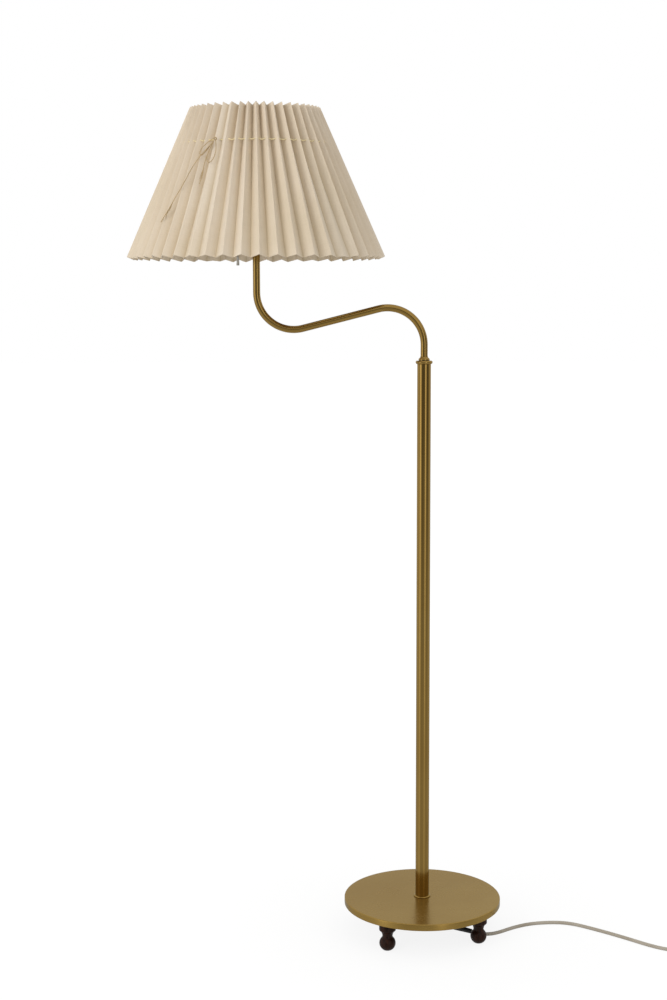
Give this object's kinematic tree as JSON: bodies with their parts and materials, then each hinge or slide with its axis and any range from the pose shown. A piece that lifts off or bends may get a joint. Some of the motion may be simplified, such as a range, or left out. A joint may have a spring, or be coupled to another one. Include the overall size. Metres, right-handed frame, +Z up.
{
  "type": "bridge floor lamp",
  "caption": "Brass floor lamp: weighted disc on turned wooden feet, slim column, swivelling S-shaped arm and a hanging pleated cloth shade with a pull switch.",
  "frame": {"origin": "on the floor, in the middle of the lamp's plan without its free cord: halfway between the rim of the shade at -X and the rim of the base at +X", "axes": "+Z up; +X from the shade towards the column; -Y is the front, the side that the picture shows"},
  "size_m": [1.0768, 0.4273, 1.4025],
  "materials": {
    "brass": "satin, brushed and lacquered",
    "steel": "zinc plated",
    "nickel": "satin nickel",
    "iron": "as cast, painted",
    "stained_wood": "dark stain, satin varnish",
    "black_rubber": "matt",
    "flex_sheath": "smooth sheath",
    "plug_moulding": "satin moulding",
    "nylon": "moulded",
    "tie_band": "matt band",
    "porcelain": "glazed",
    "phenolic": "moulded",
    "wire": "cream paint",
    "cloth": "plain weave cotton, pleated",
    "twine": "twisted cotton",
    "opal_glass": "opal",
    "cap_metal": "drawn"
  },
  "bodies": {
    "stand": {"base_cover": "brass", "base_weight": "iron", "foot_studs": "steel", "column_tube": "brass", "column_foot_ring": "brass", "column_plug": "steel", "base_nipple": "steel", "clamp_washer": "steel", "clamp_nut": "steel", "cord_relief": "black_rubber", "column_flex": "flex_sheath", "column_collar": "brass", "thrust_washer": "nylon", "mains_cord": "flex_sheath", "mains_coil": "flex_sheath", "mains_tail": "flex_sheath", "cord_tie": "tie_band", "plug_body": "plug_moulding", "plug_pins": "nickel", "foot_front_right": "stained_wood", "foot_rear_right": "stained_wood", "foot_rear_left": "stained_wood", "foot_front_left": "stained_wood"},
    "arm": {"arm_tube": "brass", "arm_ferrule": "brass", "swivel_sleeve": "brass", "stop_pin": "steel", "arm_flex": "flex_sheath", "holder_nipple": "steel", "holder_cup": "brass", "pull_guide": "brass", "switch_block": "phenolic", "holder_shell": "brass", "holder_insert": "porcelain", "screw_shell": "brass", "centre_contact": "brass", "shade_ring": "brass", "fitter_ring": "wire", "fitter_spokes": "wire", "frame_upper_ring": "wire", "frame_lower_ring": "wire", "frame_struts": "wire", "shade_pleats": "cloth", "draw_cord": "twine", "draw_cord_bow": "twine", "bulb_cap": "cap_metal", "bulb_glass": "opal_glass"},
    "pull": {"pull_chain": "nickel", "pull_bell": "nickel"}
  },
  "joints": [
    {"name": "arm_swivel", "type": "hinge", "parent": "stand", "child": "arm", "pos_m": [0.179, 0, 0.98], "axis": [0, 0, 1], "range_deg": [-165, 165]},
    {"name": "pull_switch", "type": "slide", "parent": "arm", "child": "pull", "axis": [0, 0, -1], "range_m": [0, 0.007], "stiffness_N_per_m": 1000, "springref_m": -0.003}
  ]
}
